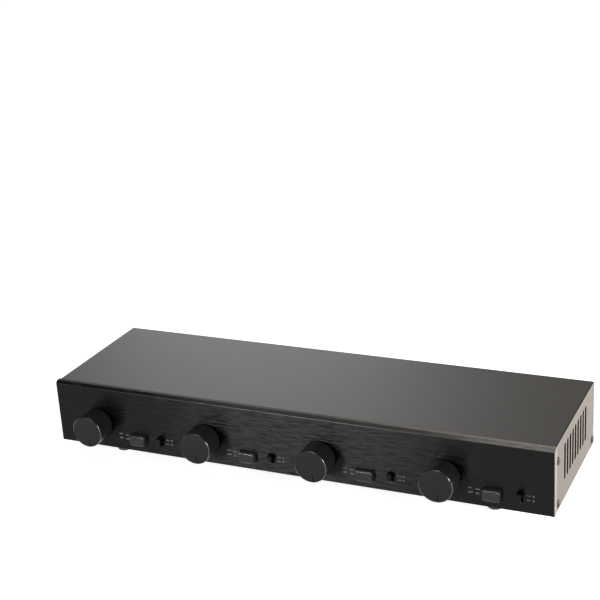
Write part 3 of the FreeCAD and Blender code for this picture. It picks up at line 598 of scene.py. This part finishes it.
# Painted sheen: the cut ends of the panel are painted pale grey metal.
milled_end = brushed("milled_end", (0.145, 0.139, 0.13), (0.172, 0.165, 0.156), 0.4, 0.000005, Metallic=0.4)
panel = from_cad("brushed_panel", "front_panel", 0.0002, anodised, "panel_anodised")
panel_low, panel_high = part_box("front_panel")
crease_foot, top_foot, end_foot = panel_high.z - 0.003, panel_high.z - 0.001, panel_high.x - 0.0005
refinish(panel, cut_bevel, lambda place, normal: normal.z > 0.3 and normal.y < -0.3)
refinish(panel, painted_crease_highlight, lambda place, normal: 0.1 < normal.z < 0.7 and normal.y < -0.7
         and place.z > crease_foot)
refinish(panel, milled_top, lambda place, normal: normal.z > 0.9 and place.z > top_foot)
refinish(panel, milled_end, lambda place, normal: abs(normal.x) > 0.6 and abs(place.x) > end_foot)
from_cad("panel_screws", "front_panel_screws", 0.00015, zinc_plate, "zinc_screw")


# ---- Panel print
# Light grey screen print: ON and OFF beside each button with the button's two heights, A and B
# beside each lever, and the zone's number under each knob.

print_grey = Finish("print_grey", Roughness=0.6)
print_grey.mottle(print_grey.grain(4000), (0.19, 0.19, 0.18), (0.29, 0.29, 0.28))
ink_thickness = 0.00002
ink_y = panel_low.y - ink_thickness / 2
capital_share = 0.7


def printed_word(word, height, x, z, middle_y, turn=0):
    """A raised word with capitals of this height, starting at x, its depth round middle_y."""
    letters = bpy.data.curves.new("word", "FONT")
    letters.body, letters.size = word, height / capital_share
    letters.align_x, letters.align_y = "LEFT", "CENTER"
    letters.space_character, letters.extrude = 1.1, ink_thickness / 2
    holder = add_object("word", letters)
    mesh = evaluated(holder)
    bpy.data.objects.remove(holder)
    mesh.transform(Matrix.Translation((x, middle_y, z)) @ Matrix.Rotation(math.radians(turn), 4, "Z") @
                   Matrix.Rotation(math.radians(90), 4, "X"))
    return mesh


def printed_bar(x, z, width, height):
    return boxes("bar", [box_at((x + width / 2, ink_y, z), (width, ink_thickness, height))])


line_width = 0.00022
word_x, word_height = 0.0187, 0.0014
base_x, base_width, base_drop = 0.0245, 0.0037, 0.0006
cap_x, cap_width, cap_side = 0.0253, 0.0021, 0.0002
letter_x, letter_height = 0.0686, 0.0015
tick_x, tick_width = 0.0638, 0.0034
number_x, number_z, number_height = -0.0006, 0.0028, 0.0016
printed = []
for zone in "1234":
    low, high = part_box("volume_knob_" + zone)
    knob_x = (low.x + high.x) / 2
    for word, line_z, cap_z in (("ON", 0.0142, -0.00025), ("OFF", 0.0104, 0.00035)):
        z = panel_low.z + line_z
        rise = cap_z + base_drop
        printed.append(printed_word(word, word_height, knob_x + word_x, z, ink_y))
        printed.append(printed_bar(knob_x + base_x, z - base_drop, base_width, line_width))
        printed.append(printed_bar(knob_x + cap_x, z + cap_z, cap_width, line_width))
        for side_x in (cap_x, cap_x + cap_width - cap_side):
            printed.append(printed_bar(knob_x + side_x, z - base_drop + rise / 2, cap_side, rise))
    for word, line_z in (("A", 0.0146), ("B", 0.0109)):
        z = panel_low.z + line_z
        printed.append(printed_word(word, letter_height, knob_x + letter_x, z, ink_y))
        printed.append(printed_bar(knob_x + tick_x, z, tick_width, line_width))
    printed.append(printed_word(zone, number_height, knob_x + number_x, panel_low.z + number_z, ink_y))


def print_on(name, meshes, slot):
    """Joins printed meshes into one object that rides the case."""
    ink = bmesh.new()
    for mesh in meshes:
        ink.from_mesh(mesh)
        bpy.data.meshes.remove(mesh)
    layer = add_object(name, as_mesh(name, ink))
    layer.data.materials.append(print_grey.material)
    seat(layer, "case", slot)


print_on("panel_print", printed, "panel_anodised")


# ---- Volume knobs
# Turned from aluminium bar and anodised black, with a fine-turned face, a bright edge cut with
# a diamond after anodising, and an engraved pointer line. Each is pressed on its shaft.

knob_skin = Finish("knob_skin", Specular_IOR_Level=0.35)
side_lines = knob_skin.grain(1, 3, (900, 12, 900))
knob_skin.mottle(side_lines, (0.009, 0.009, 0.009), (0.034, 0.034, 0.0335))
knob_skin.dull(side_lines, 0.24, 0.38)
knob_face = Finish("knob_face", Specular_IOR_Level=0.2)
face_grain = knob_face.grain(2400, 3)
knob_face.mottle(face_grain, (0.001, 0.001, 0.001), (0.006, 0.0059, 0.0057))
knob_face.dull(face_grain, 0.3, 0.42)
cut_edge = Finish("polished_edge", Base_Color=(0.1, 0.1, 0.1), Metallic=0.9)
cut_edge.dull(cut_edge.grain(1500), 0.16, 0.3)
pointer_line = Finish("pointer_line", Base_Color=(0.0015, 0.0015, 0.0015), Specular_IOR_Level=0.1)
pointer_line.dull(pointer_line.grain(2000), 0.55, 0.65)

rim, soft, hair = 0.0005, 0.00005, 0.0001
bore_radius, bore_floor = 0.0032, 0.0036
pointer_start, pointer_length, pointer_width, pointer_turn = 0.0066, 0.010, 0.0007, math.radians(-10)
on_skin, on_face, on_edge, in_groove = range(4)
for zone in "1234":
    low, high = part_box("volume_knob_" + zone)
    radius, length = (high.x - low.x) / 2, high.y - low.y
    outline = [(0, 0), (radius * 0.5, 0), (radius - rim - 2 * hair, 0), (radius - rim, 0.00002)]
    outline += [(radius - soft, rim - soft), (radius, rim + soft), (radius, length * 0.5)]
    outline += [(radius, length - 5 * hair), (radius - 3 * hair, length - hair)]
    outline += [(radius - 6 * hair, length), (bore_radius, length), (bore_radius, bore_floor), (0, bore_floor)]
    knob_mesh = turned("knob", outline, 144)
    to_face = Matrix.Translation(((low.x + high.x) / 2, low.y, (low.z + high.z) / 2))
    knob_mesh.transform(to_face @ Matrix.Rotation(math.radians(-90), 4, "X"))
    knob = add_object("knob_" + zone, knob_mesh)
    carve(knob, "pointer_groove", [to_face @ Matrix.Rotation(pointer_turn, 4, "Y") @ box_at(
        (0, 0, -pointer_start - pointer_length / 2), (pointer_width, pointer_width, pointer_length))])
    knob.data.materials.clear()
    for finish in (knob_skin, knob_face, cut_edge, pointer_line):
        knob.data.materials.append(finish.material)
    for face in knob.data.polygons:
        place = face.center
        outward = math.hypot(place.x - (low.x + high.x) / 2, place.z - (low.z + high.z) / 2)
        if place.y < low.y + hair / 10 and outward < radius - rim:
            face.material_index = on_face
        elif place.y < low.y + pointer_width - hair and outward < radius - rim - hair:
            face.material_index = in_groove
        elif abs(face.normal.y) > 0.3 and place.y < low.y + rim and outward > radius - rim - hair:
            face.material_index = on_edge
        else:
            face.material_index = on_skin
    knob.data.shade_smooth()
    knob.data.set_sharp_from_angle(angle=math.radians(25))
    seat(knob, "volume_control_" + zone, "knob_black", "volume_knob_" + zone)


# ---- Zone buttons
# Satin black mouldings with a bevel round the front face, each gripped on its plunger. The
# upward-facing part of the bevel is painted light metallic grey as a painted highlight.

button_plastic = Finish("button_plastic", Specular_IOR_Level=0.38)
button_grain = button_plastic.grain(2600, 2)
button_plastic.mottle(button_grain, (0.0012, 0.0012, 0.0012), (0.004, 0.004, 0.0039))
button_plastic.dull(button_grain, 0.22, 0.36)
polished_bevel = Finish("polished_bevel", Base_Color=(0.008, 0.008, 0.008), Specular_IOR_Level=0.3)
polished_bevel.dull(polished_bevel.grain(1800), 0.12, 0.24)
button_side = Finish("button_side", Roughness=0.5, Specular_IOR_Level=0.3)
button_side.mottle(button_side.grain(2600, 2), (0.018, 0.018, 0.018), (0.032, 0.032, 0.0315))
# Painted highlight: the bevel faces that look up are painted light metallic grey.
top_bevel = Finish("top_bevel", Base_Color=(0.16, 0.157, 0.15), Metallic=0.8)
top_bevel.dull(top_bevel.grain(1800), 0.16, 0.28)
side_start, bevel_end = 0.0008, 0.001
for zone in "1234":
    button = from_cad("button_" + zone, "zone_button_" + zone, 0.00025, button_plastic, "button_black",
                      "zone_button_" + zone)
    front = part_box("zone_button_" + zone)[0].y
    refinish(button, button_side, lambda place, normal: abs(normal.y) < 0.3
             and place.y > front + side_start)
    refinish(button, polished_bevel, lambda place, normal: -0.93 < normal.y < -0.3
             and place.y < front + bevel_end)
    refinish(button, top_bevel, lambda place, normal: -0.93 < normal.y < -0.3 and normal.z > 0.3)


# ---- Top cover
# One folded steel sheet with nine slots punched in each side, sprayed with a dark grey paint
# that dries to a fine texture. The faces along the folds are painted darker as painted shade, and
# the slot walls are painted near black as painted shade.

cover_coat = Finish("cover_coat", Specular_IOR_Level=0.3)
orange_peel = cover_coat.grain(1400, 4)
cloud = cover_coat.grain(16, 3)
cover_coat.mottle(cloud * 0.6 + orange_peel * 0.4, (0.059, 0.0575, 0.0545), (0.081, 0.078, 0.073))
cover_coat.dull(orange_peel, 0.4, 0.54)
cover_coat.relief(orange_peel, 0.00003)
cover = from_cad("painted_cover", "top_cover", 0.00035, cover_coat, "cover_paint")
cover_low, cover_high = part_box("top_cover")
# Painted shade: the walls of the slots are painted near black.
punched_steel = Finish("punched_steel", Roughness=0.6, Specular_IOR_Level=0.02)
punched_steel.mottle(punched_steel.grain(1200), (0.001, 0.001, 0.001), (0.003, 0.0028, 0.0026))
# Painted shade: the faces along the folds are painted darker.
thin_coat = Finish("thin_coat", Base_Color=(0.012, 0.012, 0.0115), Specular_IOR_Level=0.2)
thin_coat.dull(thin_coat.grain(1400, 4), 0.44, 0.58)
refinish(cover, thin_coat, lambda place, normal: 0.1 < abs(normal.x) < 0.8 and normal.z > 0.55)
end_margin, fold_margin = 0.02, 0.004
refinish(cover, punched_steel, lambda place, normal: abs(normal.x) < 0.98
         and cover_low.y + end_margin < place.y < cover_high.y - end_margin
         and cover_low.z + fold_margin < place.z < cover_high.z - fold_margin)


# ---- Cover screws
# Three black low-headed screws on each side, which go through the cover into the tray.

sided = [(centre, math.copysign(1, centre.x)) for centre, size in groups_of("cover_screws")]
screw_places = [((side * cover_high.x, centre.y, centre.z), (side, 0, 0)) for centre, side in sided]
cover_screw = screw("cover_screw", 0.0031, 0.0012, 0.0050)
seat(spread_out("cover_screws_black", cover_screw, screw_places, black_oxide),
     "case", "black_screw", "cover_screws")


# ---- Speaker connectors
# Pull-off screw terminals: nylon headers soldered to the flat board, and plugs that slide on
# their pins. A plated clamp screw sits in each well on the plug's top.

terminal_nylon = Finish("terminal_nylon")
nylon_grain = terminal_nylon.grain(2200, 3)
terminal_nylon.mottle(nylon_grain, (0.014, 0.014, 0.014), (0.03, 0.03, 0.029))
terminal_nylon.dull(nylon_grain, 0.32, 0.5)
from_cad("headers", "terminal_headers", 0.00012, terminal_nylon, "terminal_nylon")
well_depth, near = 0.0012, 0.0001
clamp_screw = screw("clamp_screw", 0.0018, 0.0007, 0)
for label in "ab1234":
    plug = from_cad("plug_" + label, "terminal_plug_" + label, 0.0002, terminal_nylon, "terminal_nylon",
                    "terminal_plug_" + label)
    well_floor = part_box("terminal_plug_" + label)[1].z - well_depth
    wells = [face.center.copy() for face in plug.data.polygons
             if face.normal.z > 0.9 and abs(face.center.z - well_floor) < near]
    seat(spread_out("clamp_screws_" + label, clamp_screw, [(place, up) for place in wells], zinc_plate),
         "terminal_plug_" + label, "zinc_screw")


# ---- Rear print
# A and B over the two input plugs and 1 to 4 over the zones' plugs, in the same grey ink.

rear_ink_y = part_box("chassis_tray")[1].y + ink_thickness / 2
label_height, label_shift, label_rise = 0.0036, 0.0012, 0.0075
printed = []
for label in "AB1234":
    low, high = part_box("terminal_plug_" + label.lower())
    printed.append(printed_word(label, label_height, (low.x + high.x) / 2 + label_shift,
                                high.z + label_rise, rear_ink_y, 180))
print_on("rear_print", printed, "tray_paint")


# ---- Studio
# A white floor that runs into a white room, six lamps, and a camera above the panel's right
# end. A warm lamp lights the right side, and a strip and two soft boxes give the panel its sheen.

bpy.ops.mesh.primitive_plane_add(size=5)
floor = bpy.context.object
floor.name = "floor"
floor_paint = Finish("floor_paint", Base_Color=(0.9, 0.9, 0.9), Roughness=0.9)


def shown(wiring):
    """1 for the rays that show a white background: straight, mirrored or through glass."""
    rays = wiring.tree.nodes.new("ShaderNodeLightPath")
    camera, glossy, through = (Value(wiring, rays.outputs[f"Is {kind} Ray"])
                               for kind in ("Camera", "Glossy", "Transmission"))
    return camera.larger(glossy.larger(through))


floor_glow, floor_fade = 0.78, 0.22
floor_paint.give("Emission Color", (1, 1, 1))
outward = floor_paint.node("ShaderNodeVectorMath", {"operation": "LENGTH"}, {
    0: floor_paint.point()}, "Value")
far = floor_paint.spread(outward, 0.8, 2.2)
floor_paint.give("Emission Strength", shown(floor_paint) * (floor_glow + far * floor_fade))
floor.data.materials.append(floor_paint.material)

room = bpy.data.worlds.new("room")
bpy.context.scene.world = room
room.use_nodes = True
room_light = Wiring(room.node_tree)
direction = room_light.node("ShaderNodeTexCoord", output="Generated")
rise = room_light.node("ShaderNodeSeparateXYZ", {}, {"Vector": direction}, "Z")
ceiling = room_light.node("ShaderNodeMapRange", {}, {
    "Value": rise, "From Min": 0.05, "From Max": 0.3, "To Min": 1.0, "To Max": 0.08})
backdrop = room_light.node("ShaderNodeLightPath", output="Is Camera Ray")
lit_share = 0.6
walls = ceiling * (lit_share + shown(room_light) * (1 - lit_share))
background = room_light.tree.nodes["Background"].inputs
room_light.feed(background["Strength"], backdrop.larger(walls))
room_light.feed(background["Color"], (1, 1, 1))


def lamp(name, place, aim, width, height, watts, colour=(1, 1, 1)):
    light = bpy.data.lights.new(name, "AREA")
    light.shape, light.size, light.size_y = "RECTANGLE", width, height
    light.energy, light.color = watts, colour
    holder = add_object(name, light)
    holder.location = place
    holder.rotation_euler = (Vector(aim) - Vector(place)).to_track_quat("-Z", "Y").to_euler()


lamp("right_lamp", (1.7, 0.75, 0.24), (0.15, 0, 0.03), 1.2, 0.4, 84, (1, 0.88, 0.76))
lamp("strip_lamp", (-0.54, -1.4, 0.2), (0, 0, 0.03), 0.42, 0.36, 16.5)
lamp("overhead_softbox", (0.0, -0.51, 1.5), (0.0, -0.4, 0.05), 0.6, 0.35, 2.5)
lamp("overhead_fill", (-0.6, -0.56, 1.5), (-0.6, -0.45, 0.05), 0.6, 0.5, 0.7)
lamp("key_lamp", (1.15, -0.72, 0.42), (0, 0, 0.03), 0.25, 0.25, 6)
lamp("back_lamp", (-1.1, 2.0, 0.87), (-0.1, 0, 0.05), 0.9, 1.0, 11)

view_camera = bpy.data.cameras.new("camera")
view_camera.lens, view_camera.sensor_width = 81.41, 36
view_camera.clip_start, view_camera.clip_end = 0.01, 50
camera = add_object("camera", view_camera)
camera_x, camera_back, camera_rise = 0.43154, 0.86501, 0.51073
forward, above = Vector((-0.40286, 0.84537, -0.35080)), Vector((-0.09276, 0.34359, 0.93453))
right = forward.cross(above).normalized()
above = right.cross(forward).normalized()
camera_place = (camera_x, panel_low.y - camera_back, panel_low.z + camera_rise)
camera_turn = Matrix((right, above, -forward.normalized())).transposed().to_4x4()
camera.matrix_world = Matrix.Translation(camera_place) @ camera_turn
bpy.context.scene.camera = camera
bpy.context.scene.view_settings.view_transform = "Standard"
